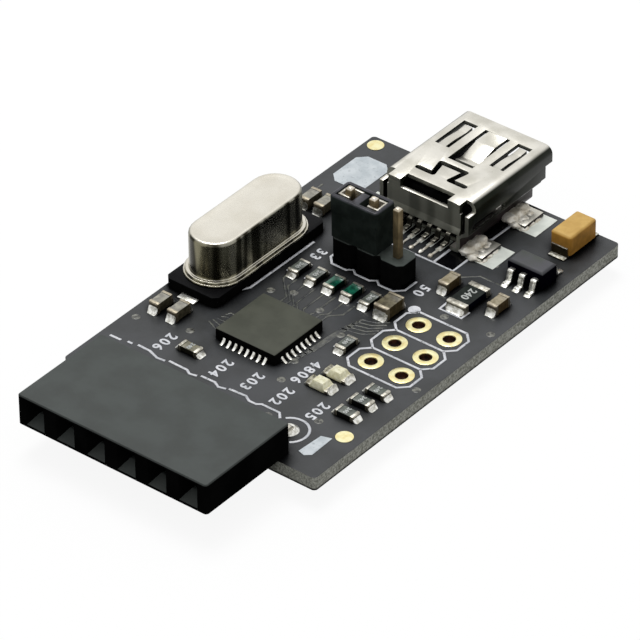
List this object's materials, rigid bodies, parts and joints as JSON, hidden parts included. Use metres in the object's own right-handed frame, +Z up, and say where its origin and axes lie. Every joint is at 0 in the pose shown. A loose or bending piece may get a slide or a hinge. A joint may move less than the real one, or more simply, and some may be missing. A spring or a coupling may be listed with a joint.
{
  "type": "usb to serial adapter module",
  "caption": "Small circuit board with a cable connector at one end and a right-angle pin socket at the other, a crystal, a chip, a voltage jumper and programming holes.",
  "frame": {"origin": "under the middle of the whole part, at the tips of the pin tails it stands on", "axes": "+Y along the board towards the cable connector, +Z up out of the component side, +X to the right seen from the socket's end"},
  "size_m": [0.021, 0.0416, 0.008],
  "materials": {
    "board": "satin black solder mask on glass fibre",
    "gold": "thin gold plating",
    "black_plastic": "moulded, matt",
    "nickel": "bright nickel plating",
    "solder": "bright tinned",
    "chip_plastic": "moulded, matt",
    "tantalum": "moulded, satin",
    "ceramic": "fired ceramic with tinned ends",
    "black_ceramic": "glazed ceramic with tinned ends",
    "green_ceramic": "glazed ceramic with tinned ends",
    "led_resin": "clear resin on a pale base",
    "fuse_body": "moulded with tinned ends"
  },
  "bodies": {
    "module": {"board": "board", "icsp_rings": "gold", "fiducials": "gold", "socket_housing": "black_plastic", "header_base": "black_plastic", "usb_insulator": "black_plastic", "usb_shell": "nickel", "usb_contacts": "gold", "usb_pads": "solder", "crystal_can": "nickel", "crystal_base": "black_plastic", "crystal_leads": "solder", "bridge_chip_body": "chip_plastic", "bridge_chip_leads": "solder", "regulator_body": "chip_plastic", "regulator_leads": "solder", "tantalum_body": "tantalum", "tantalum_terminals": "solder", "socket_solder": "solder", "header_solder": "solder", "chip_solder": "solder", "socket_contact_1": "gold", "socket_contact_2": "gold", "socket_contact_3": "gold", "socket_contact_4": "gold", "socket_contact_5": "gold", "socket_contact_6": "gold", "header_pin_1": "gold", "header_pin_2": "gold", "header_pin_3": "gold", "capacitor_1": "ceramic", "capacitor_2": "ceramic", "capacitor_3": "ceramic", "capacitor_4": "ceramic", "capacitor_5": "ceramic", "capacitor_6": "ceramic", "capacitor_7": "ceramic", "resistor_1": "black_ceramic", "resistor_2": "black_ceramic", "resistor_3": "black_ceramic", "resistor_4": "black_ceramic", "resistor_5": "black_ceramic", "resistor_6": "black_ceramic", "resistor_7": "black_ceramic", "resistor_8": "black_ceramic", "varistor_1": "green_ceramic", "varistor_2": "green_ceramic", "led_1": "led_resin", "led_2": "led_resin", "fuse": "fuse_body"},
    "jumper": {"jumper_housing": "black_plastic", "jumper_clip": "gold"}
  },
  "joints": [
    {"name": "jumper_lift", "type": "slide", "parent": "module", "child": "jumper", "axis": [0, 0, 1], "range_m": [0, 0.006]}
  ]
}
